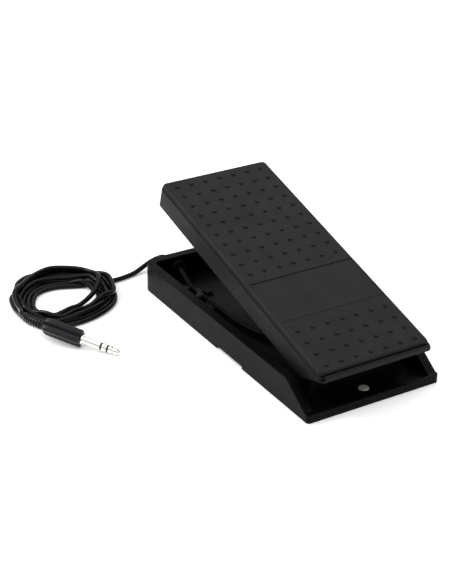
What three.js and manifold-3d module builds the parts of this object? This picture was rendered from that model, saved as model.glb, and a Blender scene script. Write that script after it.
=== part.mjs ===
// A rocker foot controller: a tread that rocks on an axle near the heel of a shallow tray,
// turns a potentiometer through a toothed sector, and sends its setting down a fixed cord
// that ends in a quarter-inch stereo plug.
// Millimetres. X is across the pedal, +Y points to the toe end, +Z is up.
// The origin is on the floor, under the middle of the pedal.

import * as THREE from 'three';
import { mergeVertices } from 'three/addons/utils/BufferGeometryUtils.js';
import Module from 'manifold-3d';

const wasm = await Module();
wasm.setup();

// ---------------------------------------------------------------- driving dimensions

const gap = 0.3;              // clearance between pieces that touch
const roundSides = 24;        // facets of a medium round
const smallSides = 16;        // facets of a small round

// Tray, a moulding that is open on top and hollow underneath
const trayWidth = 120;
const trayHeelY = -124.5;
const trayToeY = 125.5;
const trayHeight = 24;
const trayBottom = 0.5;       // the feet lift the walls this far
const rimWidth = 7.5;
const skin = 2.2;
const toeCornerRadius = 12;
const heelCornerRadius = 3;
const heelLipHeight = 7.2;
const heelLipThickness = 2.4;
const heelSlopeFoot = 4.5;    // distance from the heel where the wall starts to climb
const heelSlopeTop = 30;      // distance from the heel where it reaches full height
const floorTop = 5.2;
const floorThickness = 1.5;
const notchStart = 90.5;      // finger notch under each side wall, measured from the heel
const notchEnd = 128;
const notchHeight = 2.2;

// Rocking axis
const pivotY = -92.75;
const pivotZ = 32.76;
const restTilt = 14.53;       // degrees, heel down

// Treadle, in its own frame: origin on the axle, y to the toe, z square to the tread
const treadTop = 13;
const treadThickness = 2.4;
const treadWidth = 99;
const treadHeelY = -28.1;
const treadToeY = 212.8;
const panelDepth = 0.5;
const panelHeelY = 30.5;
const panelToeY = 76.2;
const panelWidth = 95.2;
const frameWidth = 100.4;
const frameHeelY = -31.5;
const frameToeY = 213.5;
const skirtBottom = -7.8;
const shoulderZ = 8.4;
const skirtThickness = 3;
const deckThickness = 2.4;
const cheekInner = 45.6;        // inner face of the thick cheeks that hold the bushes
const heelLipTop = 12;
const heelLipBottom = 6.8;

// Grip bumps on the tread
const bumpColumns = 7;
const bumpPitchX = 13.33;
const bumpPitchY = 12.9;
const upperRows = 10;
const upperFirstY = 203.8;
const lowerRows = 4;
const lowerFirstY = 18.4;
const bumpRadius = 2.1;
const bumpHeight = 0.8;

// Axle group
const axleRadius = 3;
const earOuter = 41;
const sheet = 1.6;

// Gear pair: 12 teeth on the pinion, a 108-tooth wheel's worth of pitch on the sector
const gearModule = 1;
const pinionTeeth = 12;
const wheelTeeth = 108;
const potZ = 22;
const gearX = 20;
const gearWidth = 4;

// Cord and plug
const cordRadius = 2.1;
const cordExitX = -30;
const cordExitZ = 14;
const coilCentreX = -131;
const coilCentreY = 130;
const coilOuter = 47;
const coilInner = 29;
const coilHeight = 12;
const plugTip = new THREE.Vector3(-131.3, 30.9, 2.5);
const plugDirection = new THREE.Vector3(0.5816, -0.8006, -0.1444).normalize();

// ---------------------------------------------------------------- derived places

const deckTop = treadTop - treadThickness - gap;
const deckBottom = deckTop - deckThickness;
const innerHalf = trayWidth / 2 - rimWidth;
const toeInnerY = trayToeY - rimWidth;
const plinthTop = floorTop + 0.8;
const flangeBottom = plinthTop + gap;
const plateTop = floorTop - floorThickness - gap;
const plateThickness = 1.1;
const plateBottom = plateTop - plateThickness;
const footTop = plateBottom - gap;
const pinionRadius = (pinionTeeth * gearModule) / 2;
const wheelRadius = (wheelTeeth * gearModule) / 2;
const gearDistance = wheelRadius + pinionRadius;
const gearAngle = Math.asin((potZ - pivotZ) / gearDistance);
const potY = pivotY + gearDistance * Math.cos(gearAngle);

// ---------------------------------------------------------------- materials

const material = (color, roughness, metalness) => (
  new THREE.MeshStandardMaterial({ color, roughness, metalness })
);
const moulding = material(0x26272a, 0.6, 0);
const treadPlastic = material(0x2c2d30, 0.7, 0);
const rubber = material(0x151515, 0.9, 0);
const blackSteel = material(0x1b1c1e, 0.45, 0.6);
const zincSteel = material(0xb4b4ac, 0.35, 1);
const nickel = material(0xd9d8d2, 0.15, 1);
const nylon = material(0xd8d5c8, 0.5, 0);
const felt = material(0x4a4742, 1, 0);
const phenolic = material(0x6b4a2c, 0.7, 0);
const cordJacket = material(0x131314, 0.45, 0);
const plugPlastic = material(0x1d1e20, 0.5, 0);

// ---------------------------------------------------------------- solid helpers

function toSolid(geometry) {
  const bare = geometry.clone();
  bare.deleteAttribute('normal');
  bare.deleteAttribute('uv');
  const merged = mergeVertices(bare, 1e-4);
  return new wasm.Manifold(new wasm.Mesh({
    numProp: 3,
    vertProperties: new Float32Array(merged.attributes.position.array),
    triVerts: new Uint32Array(merged.index.array),
  }));
}

function toGeometry(solid) {
  const mesh = solid.getMesh();
  const geometry = new THREE.BufferGeometry();
  const positions = new Float32Array(mesh.vertProperties);
  geometry.setAttribute('position', new THREE.BufferAttribute(positions, 3));
  geometry.setIndex(new THREE.BufferAttribute(new Uint32Array(mesh.triVerts), 1));
  geometry.computeVertexNormals();
  return geometry;
}

function join(...pieces) {
  return toGeometry(pieces.map(toSolid).reduce((sum, next) => sum.add(next)));
}

function cut(piece, ...tools) {
  return toGeometry(tools.map(toSolid).reduce((rest, tool) => rest.subtract(tool), toSolid(piece)));
}

function common(first, second) {
  return toGeometry(toSolid(first).intersect(toSolid(second)));
}

function box(xRange, yRange, zRange) {
  const size = [xRange, yRange, zRange].map(([low, high]) => high - low);
  const centre = [xRange, yRange, zRange].map(([low, high]) => (high + low) / 2);
  return new THREE.BoxGeometry(...size).translate(...centre);
}

function extrude(shape, depth, curveSegments = 6) {
  return new THREE.ExtrudeGeometry(shape, { depth, bevelEnabled: false, curveSegments });
}

// A shape drawn in x and y, raised from zRange[0] to zRange[1]
function slab(shape, zRange, curveSegments) {
  return extrude(shape, zRange[1] - zRange[0], curveSegments).translate(0, 0, zRange[0]);
}

// A shape drawn in y and z, carried across from xRange[0] to xRange[1]
function across(shape, xRange, curveSegments) {
  const turn = new THREE.Matrix4().makeBasis(
    new THREE.Vector3(0, 1, 0), new THREE.Vector3(0, 0, 1), new THREE.Vector3(1, 0, 0),
  );
  return extrude(shape, xRange[1] - xRange[0], curveSegments)
    .applyMatrix4(turn)
    .translate(xRange[0], 0, 0);
}

function polygon(points) {
  return new THREE.Shape(points.map(([x, y]) => new THREE.Vector2(x, y)));
}

// Rectangle from its low and high corners, with one radius at the heel and one at the toe
function roundedPlan(xHalf, yLow, yHigh, heelRadius, toeRadius) {
  const shape = new THREE.Shape();
  shape.moveTo(-xHalf + heelRadius, yLow);
  shape.lineTo(xHalf - heelRadius, yLow);
  shape.absarc(xHalf - heelRadius, yLow + heelRadius, heelRadius, -Math.PI / 2, 0, false);
  shape.lineTo(xHalf, yHigh - toeRadius);
  shape.absarc(xHalf - toeRadius, yHigh - toeRadius, toeRadius, 0, Math.PI / 2, false);
  shape.lineTo(-xHalf + toeRadius, yHigh);
  shape.absarc(-xHalf + toeRadius, yHigh - toeRadius, toeRadius, Math.PI / 2, Math.PI, false);
  shape.lineTo(-xHalf, yLow + heelRadius);
  shape.absarc(-xHalf + heelRadius, yLow + heelRadius, heelRadius, Math.PI, 1.5 * Math.PI, false);
  return shape;
}

// Rod along z, x or y, from low to high
function rodZ(radius, x, y, zRange, sides = smallSides) {
  return new THREE.CylinderGeometry(radius, radius, zRange[1] - zRange[0], sides)
    .rotateX(Math.PI / 2)
    .translate(x, y, (zRange[0] + zRange[1]) / 2);
}

function rodX(radius, y, z, xRange, sides = smallSides) {
  return new THREE.CylinderGeometry(radius, radius, xRange[1] - xRange[0], sides)
    .rotateZ(Math.PI / 2)
    .translate((xRange[0] + xRange[1]) / 2, y, z);
}

function rodY(radius, x, z, yRange, sides = smallSides) {
  return new THREE.CylinderGeometry(radius, radius, yRange[1] - yRange[0], sides)
    .translate(x, (yRange[0] + yRange[1]) / 2, z);
}

// Turned piece about z: [radius, z] pairs that start and end on the axis or close on themselves
function turned(profile, sides = smallSides) {
  const points = profile.map(([radius, z]) => new THREE.Vector2(radius, z));
  return new THREE.LatheGeometry(points, sides).rotateX(Math.PI / 2);
}

// Flat ring about x
function ringX(inner, outer, xRange, y, z, sides = smallSides) {
  const profile = [
    [inner, xRange[0]], [outer, xRange[0]], [outer, xRange[1]],
    [inner, xRange[1]], [inner, xRange[0]],
  ];
  return turned(profile, sides).rotateY(Math.PI / 2).translate(0, y, z);
}

// Pan-head screw standing on z: head below, point up
function panScrew(headRadius, headHeight, shankRadius, length, sides = 10) {
  return turned([
    [0, 0], [headRadius * 0.7, 0], [headRadius, headHeight * 0.5], [headRadius, headHeight],
    [shankRadius, headHeight], [shankRadius, headHeight + length * 0.85],
    [shankRadius * 0.4, headHeight + length], [0, headHeight + length],
  ], sides);
}

function part(name, geometry, look) {
  const mesh = new THREE.Mesh(geometry, look);
  mesh.name = name;
  return mesh;
}

// ---------------------------------------------------------------- tray and what closes it

const plateScrewPlaces = [[-42, -60], [42, -60], [-42, 84], [42, 84]];
const rivetY = -110;
const bumperX = 48.6;
const bumperPlaces = [[-bumperX, 43], [bumperX, 43]];
const bumperRadius = 3.4;
const bumperBossTop = 22.5;

function trayBlock() {
  const plan = roundedPlan(trayWidth / 2, trayHeelY, trayToeY, heelCornerRadius, toeCornerRadius);
  const side = polygon([
    [trayHeelY - 1, trayBottom], [trayToeY + 1, trayBottom], [trayToeY + 1, trayHeight],
    [trayHeelY + heelSlopeTop, trayHeight], [trayHeelY + heelSlopeFoot, heelLipHeight],
    [trayHeelY - 1, heelLipHeight],
  ]);
  const sideReach = [-trayWidth / 2 - 1, trayWidth / 2 + 1];
  return common(slab(plan, [0, trayHeight + 1], 8), across(side, sideReach));
}

// Hollows moulded up into the side and toe walls from below, with webs left between them
function wallHollows() {
  const hollows = [];
  const low = innerHalf + skin;
  const high = trayWidth / 2 - skin;
  const span = (toeInnerY - 6 - (trayHeelY + heelSlopeTop + 4)) / 5;
  for (const side of [-1, 1]) {
    const xRange = side < 0 ? [-high, -low] : [low, high];
    for (let bay = 0; bay < 5; bay += 1) {
      const start = trayHeelY + heelSlopeTop + 4 + bay * span;
      hollows.push(box(xRange, [start, start + span - skin], [0, trayHeight - skin]));
    }
  }
  for (let bay = 0; bay < 3; bay += 1) {
    const start = -45 + bay * 30;
    const yRange = [toeInnerY + skin, trayToeY - skin];
    hollows.push(box([start, start + 30 - skin], yRange, [0, trayHeight - skin]));
  }
  return hollows;
}

function tray() {
  const well = roundedPlan(innerHalf, trayHeelY + heelLipThickness, toeInnerY, 2, 5);
  const under = roundedPlan(
    trayWidth / 2 - skin, trayHeelY + heelLipThickness, trayToeY - skin, 2, 9,
  );
  const notches = [-1, 1].map((side) => {
    const xRange = side < 0 ? [-trayWidth / 2 - 1, -innerHalf] : [innerHalf, trayWidth / 2 + 1];
    const yRange = [trayHeelY + notchStart, trayHeelY + notchEnd];
    return box(xRange, yRange, [0, trayBottom + notchHeight]);
  });
  const shell = cut(
    trayBlock(),
    slab(well, [floorTop, trayHeight + 1]),
    slab(under, [0, floorTop - floorThickness]),
    ...wallHollows(),
    ...notches,
  );
  const plinth = box([-47, 47], [-103, -76], [floorTop - 0.5, plinthTop]);
  const screwPosts = plateScrewPlaces.map(([x, y]) => rodZ(4, x, y, [floorTop - 0.5, 13]));
  const stops = bumperPlaces.map(([x, y]) => join(
    rodZ(bumperRadius + 1.6, x, y + 5, [floorTop - 0.5, bumperBossTop], roundSides),
    box(x < 0 ? [-innerHalf - 1, -46] : [46, innerHalf + 1], [y - 14, y + 5],
      [floorTop - 0.5, bumperBossTop - 2]),
  ));
  const solid = join(shell, plinth, ...screwPosts, ...stops);
  const pilots = plateScrewPlaces.map(([x, y]) => rodZ(1.6, x, y, [0, 11], 12));
  const glandHole = rodY(5, cordExitX, cordExitZ, [toeInnerY - 2, trayToeY + 2]);
  const rivetHole = rodZ(2.3, 0, rivetY, [0, floorTop + 1]);
  const bumperHoles = bumperPlaces.map(([x, y]) => rodZ(1.6, x, y + 5, [15, 30], 12));
  return cut(solid, ...pilots, glandHole, rivetHole, ...bumperHoles);
}

function bottomPlate() {
  const plan = roundedPlan(51, trayHeelY + 4, toeInnerY, 3, 6);
  const holes = plateScrewPlaces.map(([x, y]) => rodZ(2, x, y, [0, 5], 12));
  const rivetHole = rodZ(2.3, 0, rivetY, [0, 5]);
  return cut(slab(plan, [plateBottom, plateTop]), ...holes, rivetHole);
}

function foot(x, y) {
  return turned([
    [0, 0], [7.4, 0], [8, 0.5], [8, footTop], [0, footTop],
  ], 20).translate(x, y, 0);
}

// One-piece rivet: flat head above the tray floor, tail set under the plate
function rivet() {
  const tail = plateBottom - gap;
  const seat = floorTop + gap;
  return turned([
    [0, tail - 0.8], [2.8, tail - 0.8], [3.1, tail], [1.9, tail], [1.9, seat], [4.3, seat],
    [4.3, seat + 0.45], [3.9, seat + 0.75], [0, seat + 0.75],
  ], roundSides).translate(0, rivetY, 0);
}

function plateScrew([x, y]) {
  return panScrew(3.2, 1.2, 1.3, 7).translate(x, y, plateBottom - gap - 1.2);
}

// Mushroom bumper: a stem in the boss and a domed head that the closed treadle lands on
function bumper([x, y]) {
  const seat = bumperBossTop + gap;
  return turned([
    [0, 17], [1.2, 17], [1.2, seat], [bumperRadius, seat], [bumperRadius, seat + 1.8],
    [bumperRadius * 0.75, seat + 2.9], [bumperRadius * 0.4, seat + 3.3], [0, seat + 3.4],
  ], 18).translate(x, y + 5, 0);
}

// ---------------------------------------------------------------- pivot

const bracketFrontY = -99.3;
const earReachY = pivotY + 8;
const bracketScrewPlaces = [[-30, -86], [30, -86]];

function earOutline() {
  const radius = 6.5;
  const shape = new THREE.Shape();
  shape.moveTo(bracketFrontY, flangeBottom);
  shape.lineTo(earReachY, flangeBottom);
  shape.lineTo(pivotY + radius, pivotZ);
  shape.absarc(pivotY, pivotZ, radius, 0, Math.PI, false);
  shape.lineTo(bracketFrontY, pivotZ - 4);
  const hole = new THREE.Path();
  hole.absarc(pivotY, pivotZ, axleRadius + gap, 0, 2 * Math.PI, false);
  shape.holes.push(hole);
  return shape;
}

function pivotBracket() {
  const flangeTop = flangeBottom + sheet;
  const flange = box([-44, 44], [-101, -79], [flangeBottom, flangeTop]);
  const wall = box([-earOuter, earOuter], [bracketFrontY, bracketFrontY + sheet],
    [flangeBottom, pivotZ + 3]);
  const ears = [-earOuter, earOuter - sheet].map((x) => (
    across(earOutline(), [x, x + sheet], 12)
  ));
  const holes = bracketScrewPlaces.map(([x, y]) => rodZ(2, x, y, [0, 12], 12));
  return cut(join(flange, wall, ...ears), ...holes);
}

function bracketScrew([x, y]) {
  const top = flangeBottom + sheet + gap;
  return panScrew(3.4, 1.8, 1.5, 1.4).rotateX(Math.PI).translate(x, y, top + 1.8);
}

function axle() {
  const half = 49;
  const clip = 38.2;
  const groove = 2.4;
  const profile = [[0, -half], [2.6, -half], [axleRadius, -half + 0.4]];
  for (const x of [-clip, clip]) {
    profile.push([axleRadius, x - 0.6], [groove, x - 0.6], [groove, x + 0.6], [axleRadius, x + 0.6]);
  }
  profile.push([axleRadius, half - 0.4], [2.6, half], [0, half]);
  return turned(profile, 24).rotateY(Math.PI / 2).translate(0, pivotY, pivotZ);
}

// Open retaining ring in the axle's groove
function axleClip(x) {
  const shape = new THREE.Shape();
  const mouth = 0.55;
  shape.absarc(0, 0, 4.6, mouth, 2 * Math.PI - mouth, false);
  shape.absarc(0, 0, 2.7, 2 * Math.PI - mouth, mouth, true);
  return across(shape, [x - 0.4, x + 0.4], 10).translate(0, pivotY, pivotZ);
}

// ---------------------------------------------------------------- treadle, in its own frame

const treadScrewPlaces = [[-34, 8], [34, 8], [-34, 110], [34, 110], [-34, 196], [34, 196]];
const sectorScrewPlaces = [[11, 44], [29, 44]];

function skirtSide() {
  return polygon([
    [frameHeelY - 1, heelLipBottom], [frameHeelY + 2.5, heelLipBottom],
    [-9, skirtBottom + 1.4], [-5, skirtBottom], [frameToeY + 1, skirtBottom],
    [frameToeY + 1, treadTop + 1], [frameHeelY - 1, treadTop + 1],
  ]);
}

function treadleFrame() {
  const half = frameWidth / 2;
  const outer = roundedPlan(half, frameHeelY, frameToeY, 3, 4.5);
  const neck = roundedPlan(half - 0.6, frameHeelY + 1.8, frameToeY - 0.6, 2, 4);
  const hollow = roundedPlan(half - skirtThickness, frameHeelY + 3.2, frameToeY - 3, 1, 2);
  const reach = [-half - 1, half + 1];
  const skirt = common(slab(outer, [skirtBottom, shoulderZ], 6), across(skirtSide(), reach));
  const deck = slab(neck, [shoulderZ - 1, deckTop], 5);
  const heelLip = box([-half + 3, half - 3], [frameHeelY, frameHeelY + 1.9],
    [shoulderZ - 1, heelLipTop]);
  const shell = cut(join(skirt, deck, heelLip), slab(hollow, [skirtBottom - 1, deckBottom], 5));
  const cheeks = [[-half + 1, -cheekInner], [cheekInner, half - 1]].map((xRange) => (
    rodX(7.6, 0, 0, xRange, roundSides)
  ));
  const ribs = [66, 96, 136, 172].map((y) => (
    box([-half + 2, half - 2], [y, y + 2], [deckBottom - 3.4, deckBottom + 0.5])
  ));
  const solid = join(shell, ...cheeks, ...ribs);
  const bushHoles = [[-half + 0.8, -cheekInner + 1], [cheekInner - 1, half + 1]].map((xRange) => (
    rodX(4.3, 0, 0, xRange, 24)
  ));
  const treadHoles = treadScrewPlaces.map(([x, y]) => rodZ(3.4, x, y, [0, 12], 16));
  const sectorHoles = sectorScrewPlaces.map(([x, y]) => rodZ(1.6, x, y, [0, 12], 12));
  return cut(solid, ...bushHoles, ...treadHoles, ...sectorHoles);
}

function bumpField(rows, firstY) {
  const bumps = [];
  for (let row = 0; row < rows; row += 1) {
    for (let column = 0; column < bumpColumns; column += 1) {
      const x = (column - (bumpColumns - 1) / 2) * bumpPitchX;
      const height = bumpHeight + 0.2;
      bumps.push(new THREE.CylinderGeometry(bumpRadius * 0.5, bumpRadius, height, 5)
        .rotateX(Math.PI / 2)
        .translate(x, firstY - row * bumpPitchY, treadTop - 0.2 + height / 2));
    }
  }
  return bumps;
}

function treadPlate() {
  const plan = roundedPlan(treadWidth / 2, treadHeelY, treadToeY, 2.5, 4);
  const blank = slab(plan, [treadTop - treadThickness, treadTop], 5);
  const panel = box([-panelWidth / 2, panelWidth / 2], [panelHeelY, panelToeY],
    [treadTop - panelDepth, treadTop + 1]);
  const pegs = treadScrewPlaces.map(([x, y]) => (
    rodZ(3, x, y, [deckBottom + gap, treadTop - treadThickness + 0.5], 16)
  ));
  const pilots = treadScrewPlaces.map(([x, y]) => rodZ(1.6, x, y, [0, treadTop - 1], 12));
  const bumps = [...bumpField(upperRows, upperFirstY), ...bumpField(lowerRows, lowerFirstY)];
  return cut(join(cut(blank, panel), ...pegs, ...bumps), ...pilots);
}

function treadScrew([x, y]) {
  return panScrew(4.4, 1.6, 1.3, 3.6).translate(x, y, deckBottom - gap - 1.6);
}

function bush(side) {
  const profile = [
    [3.3, 43.9], [6, 43.9], [6, 45.3], [4, 45.3], [4, 49.2], [3.3, 49.2], [3.3, 43.9],
  ].map(([radius, x]) => [radius, side * x]);
  if (side < 0) {
    profile.reverse();
  }
  return turned(profile, 24).rotateY(Math.PI / 2);
}

// Tooth flanks are straight from root to tip, thinned so that the pair runs with backlash
function toothOutline(centreAngle, pitchRadius, outward) {
  const halfPitch = Math.PI * gearModule / 4;
  const levels = outward
    ? [[-1.25, 1.35], [0, 0.74], [0.85, 0.3]]
    : [[-1.25, 1.3], [0, 0.72], [0.85, 0.28]];
  const low = levels.map(([height, share]) => [pitchRadius + height, -share * halfPitch]);
  const high = levels.map(([height, share]) => [pitchRadius + height, share * halfPitch]).reverse();
  return [...low, ...high].map(([radius, offset]) => {
    const angle = centreAngle + offset / pitchRadius;
    return [radius * Math.cos(angle), radius * Math.sin(angle)];
  });
}

// Toothed segment under the deck; its arc is centred on the axle
function sectorGear() {
  const degree = Math.PI / 180;
  const toothStep = 2 * Math.PI / wheelTeeth;
  const contact = gearAngle - restTilt * degree;
  const inner = 41;
  const root = wheelRadius - 1.25 * gearModule;
  const shape = new THREE.Shape();
  const first = contact - 1.5 * toothStep;
  shape.moveTo(inner * Math.cos(first - 0.02), inner * Math.sin(first - 0.02));
  for (let tooth = 0; tooth < 8; tooth += 1) {
    const centre = contact + (tooth - 1) * toothStep;
    for (const [y, z] of toothOutline(centre, wheelRadius, true)) {
      shape.lineTo(y, z);
    }
  }
  const topZ = deckBottom - gap;
  shape.lineTo(Math.sqrt(root * root - topZ * topZ), topZ);
  shape.lineTo(Math.sqrt(inner * inner - topZ * topZ), topZ);
  const web = across(shape, [gearX - gearWidth / 2, gearX + gearWidth / 2]);
  const flange = box([6, 34], [39, 49], [topZ - 2, topZ]);
  const holes = sectorScrewPlaces.map(([x, y]) => rodZ(1.9, x, y, [0, 9], 12));
  return cut(join(web, flange), ...holes);
}

function sectorScrew([x, y]) {
  return panScrew(3.4, 1.8, 1.3, 5).translate(x, y, deckBottom - gap - 2 - gap - 1.8);
}

// ---------------------------------------------------------------- potentiometer

const potBracketX = 8.5;
const potScrewPlaces = [[-1, potY - 13], [-1, potY + 13]];

function potBody() {
  const face = potBracketX - gap;
  return turned([
    [0, face - 10.7], [7.7, face - 10.7], [8.25, face - 10.1], [8.25, face], [3.5, face],
    [3.5, potBracketX + 7], [3.2, potBracketX + 7.3], [0, potBracketX + 7.3],
  ], roundSides).rotateY(Math.PI / 2).translate(0, potY, potZ);
}

function potBracket() {
  const plateX = [potBracketX, potBracketX + 1.5];
  const lower = floorTop + gap;
  const upright = box(plateX, [potY - 11, potY + 11], [lower, potZ + 11]);
  const footing = box([-6, potBracketX + 1.5], [potY - 18, potY + 18], [lower, lower + 1.5]);
  const bore = rodX(3.9, potY, potZ, [potBracketX - 1, potBracketX + 3]);
  const holes = potScrewPlaces.map(([x, y]) => rodZ(1.9, x, y, [0, 10], 12));
  return cut(join(upright, footing), bore, ...holes);
}

function potScrew([x, y]) {
  const top = floorTop + gap + 1.5 + gap;
  return panScrew(3.2, 1.6, 1.3, 1.4).rotateX(Math.PI).translate(x, y, top + 1.6);
}

function potNut() {
  const angles = [0, 1, 2, 3, 4, 5].map((corner) => corner * Math.PI / 3);
  const shape = polygon(angles.map((angle) => [5.6 * Math.cos(angle), 5.6 * Math.sin(angle)]));
  const hole = new THREE.Path();
  hole.absarc(0, 0, 3.9, 0, 2 * Math.PI, false);
  shape.holes.push(hole);
  const start = potBracketX + 1.5 + gap + 0.6 + gap;
  return across(shape, [start, start + 2], 10).translate(0, potY, potZ);
}

// Three solder lugs on one phenolic comb above the body
function potTerminals() {
  const low = potZ + 8.25 + gap;
  const comb = box([0.6, 2.2], [potY - 6, potY + 6], [low, low + 2]);
  const lugs = [-4, 0, 4].map((offset) => (
    box([1.1, 1.7], [potY + offset - 1, potY + offset + 1], [low + 1.5, low + 6])
  ));
  return join(comb, ...lugs);
}

function pinion() {
  // A gap between two teeth faces the sector's tooth at rest
  const firstAngle = gearAngle + Math.PI + Math.PI / pinionTeeth;
  const outline = [];
  for (let tooth = 0; tooth < pinionTeeth; tooth += 1) {
    const centre = firstAngle + tooth * 2 * Math.PI / pinionTeeth;
    outline.push(...toothOutline(centre, pinionRadius, false));
  }
  const shape = polygon(outline);
  const bore = new THREE.Path();
  bore.absarc(0, 0, 3.3, 0, 2 * Math.PI, false);
  shape.holes.push(bore);
  return across(shape, [gearX - 3, gearX + 3], 8).translate(0, potY, potZ);
}

// ---------------------------------------------------------------- cord, gland and plug

function tube(points, radius) {
  const path = new THREE.CatmullRomCurve3(points.map((point) => new THREE.Vector3(...point)));
  const steps = Math.max(4, Math.round(path.getLength() / (radius * 5)));
  const section = new THREE.Shape();
  section.absarc(0, 0, radius, 0, 2 * Math.PI, false);
  return new THREE.ExtrudeGeometry(section, {
    extrudePath: path, steps, bevelEnabled: false, curveSegments: 4,
  });
}

function gland() {
  const bore = cordRadius + gap;
  const inside = toeInnerY - gap;
  const outside = trayToeY + gap;
  return turned([
    [bore, inside - 3], [6.4, inside - 3], [6.4, inside], [4.6, inside], [4.6, outside],
    [6.6, outside], [6.6, outside + 1.8], [4.2, outside + 2.2], [3.2, outside + 11],
    [bore, outside + 11], [bore, inside - 3],
  ], 18).rotateX(-Math.PI / 2).translate(cordExitX, 0, cordExitZ);
}

const leadRoute = [
  [cordExitX, trayToeY + 1, cordExitZ], [cordExitX, 132, cordExitZ],
  [cordExitX, 137.4, cordExitZ], [-32, 143.5, 12.2], [-38.5, 148.4, 8.4],
  [-49, 148.8, 4.9], [-61, 145.5, 3.1], [-72, 144, 2.55], [-85.1, 144.4, 2.5],
];
const innerRoute = [
  [cordExitX, trayToeY - 0.3, cordExitZ], [cordExitX, 119, cordExitZ],
  [cordExitX, 113, cordExitZ], [-30.6, 103, 10.6], [-31.4, 92, 7.9], [-31.4, 60, 7.9],
  [-30, 20, 7.7], [-22, -8, 7.7], [-10, -22, 9], [-4.5, potY + 3, 17], [-4.5, potY, 26],
];
const plugBodyStart = 33.3;
const plugBodyLength = 33.4;
const bootLength = 21;
const bootBend = THREE.MathUtils.degToRad(32);
const plugBack = plugDirection.clone().negate();
const bootSide = new THREE.Vector3(0.8, 0.58, -0.35).projectOnPlane(plugBack).normalize();
const bootRoot = plugTip.clone().addScaledVector(plugBack, plugBodyStart + plugBodyLength + gap);

// Centre of the bent boot, or of the cord that carries straight on from it
function bootPoint(distance) {
  const along = Math.min(distance, bootLength);
  const angle = bootBend * along / bootLength;
  const radius = bootLength / bootBend;
  const rest = distance - along;
  return bootRoot.clone()
    .addScaledVector(plugBack, radius * Math.sin(angle) + rest * Math.cos(angle))
    .addScaledVector(bootSide, radius * (1 - Math.cos(angle)) + rest * Math.sin(angle));
}

const tailRoute = [
  [-178.2, 146.2, 5.5], [-181, 137, 8], [-181.6, 126, 10.8],
  bootPoint(bootLength + 9).toArray(), bootPoint(bootLength + gap).toArray(),
];

function coil() {
  return turned([
    [coilInner, 0], [coilOuter - 1, 0], [coilOuter, 5], [coilOuter - 5, coilHeight - 1],
    [coilOuter - 9, coilHeight], [coilInner + 5, coilHeight], [coilInner, 7], [coilInner, 0],
  ], 32).translate(coilCentreX, coilCentreY, 0);
}

function cordClip() {
  const saddle = new THREE.Shape();
  saddle.absarc(-31.4, 7.9, cordRadius + gap + 1, 0, Math.PI, false);
  saddle.lineTo(-31.4 - cordRadius - gap - 1, floorTop + gap);
  saddle.lineTo(-31.4 - cordRadius - gap, floorTop + gap);
  saddle.absarc(-31.4, 7.9, cordRadius + gap, Math.PI, 0, true);
  saddle.lineTo(-31.4 + cordRadius + gap, floorTop + gap);
  saddle.lineTo(-20, floorTop + gap);
  saddle.lineTo(-20, floorTop + gap + 1);
  saddle.lineTo(-31.4 + cordRadius + gap + 1, floorTop + gap + 1);
  const strip = extrude(saddle, 7, 8).rotateX(Math.PI / 2).translate(0, 81, 0);
  return cut(strip, rodZ(1.9, -23.4, 77.5, [0, 10], 12));
}

function clipScrew() {
  const top = floorTop + gap + 1 + gap;
  return panScrew(3, 1.6, 1.3, 1.2).rotateX(Math.PI).translate(-23.4, 77.5, top + 1.6);
}

// Plug pieces are turned about z with the tip at zero, and the group points them along the plug
function plugTipPiece() {
  return turned([
    [0, 0], [1.1, 0.3], [2.6, 2.6], [2.85, 3.6], [2.1, 5.2], [2.1, 6], [3.17, 7.6],
    [3.17, 9.4], [0, 9.4],
  ], 18);
}

function plugWasher(start) {
  return turned([[0, start], [3, start], [3, start + 0.9], [0, start + 0.9]], 18);
}

function plugRing() {
  return turned([[0, 10.9], [3.17, 10.9], [3.17, 15.1], [0, 15.1]], 18);
}

function plugSleeve() {
  return turned([
    [0, 16.6], [3.17, 16.6], [3.17, 31.4], [4.4, 31.4], [4.4, 33], [0, 33],
  ], 18);
}

// Moulded grip: a rounded square with a long groove in each side
function plugGrip() {
  const half = 6.1;
  const corner = 2;
  const block = new THREE.Shape();
  block.absarc(half - corner, half - corner, corner, 0, Math.PI / 2, false);
  block.absarc(corner - half, half - corner, corner, Math.PI / 2, Math.PI, false);
  block.absarc(corner - half, corner - half, corner, Math.PI, 1.5 * Math.PI, false);
  block.absarc(half - corner, corner - half, corner, 1.5 * Math.PI, 2 * Math.PI, false);
  const range = [plugBodyStart, plugBodyStart + plugBodyLength];
  const grooves = [0, 1, 2, 3].map((side) => (
    rodZ(1.9, half + 0.5, 0, [range[0] - 1, range[1] - 5], 12).rotateZ(side * Math.PI / 2)
  ));
  return cut(slab(block, range, 4), ...grooves);
}

// Ribbed boot: turned straight about z, then bent along the arc of bootPoint
function plugBoot() {
  const profile = [[0, 0], [4.6, 0], [4.6, 2.4]];
  for (let rib = 0; rib < 5; rib += 1) {
    const start = 3 + rib * 3.4;
    const radius = 4.5 - rib * 0.28;
    profile.push([radius - 0.7, start], [radius - 0.7, start + 1], [radius, start + 1.4],
      [radius, start + 3]);
  }
  profile.push([2.9, 20.4], [2.9, bootLength], [0, bootLength]);
  const boot = turned(profile, 12);
  const binormal = plugBack.clone().cross(bootSide);
  const places = boot.attributes.position;
  for (let index = 0; index < places.count; index += 1) {
    const distance = places.getZ(index);
    const angle = bootBend * distance / bootLength;
    const vertex = bootPoint(distance)
      .addScaledVector(plugBack, -Math.sin(angle) * places.getX(index))
      .addScaledVector(bootSide, Math.cos(angle) * places.getX(index))
      .addScaledVector(binormal, places.getY(index));
    places.setXYZ(index, vertex.x, vertex.y, vertex.z);
  }
  return boot;
}

// ---------------------------------------------------------------- assembly

const pedal = new THREE.Group();

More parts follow.
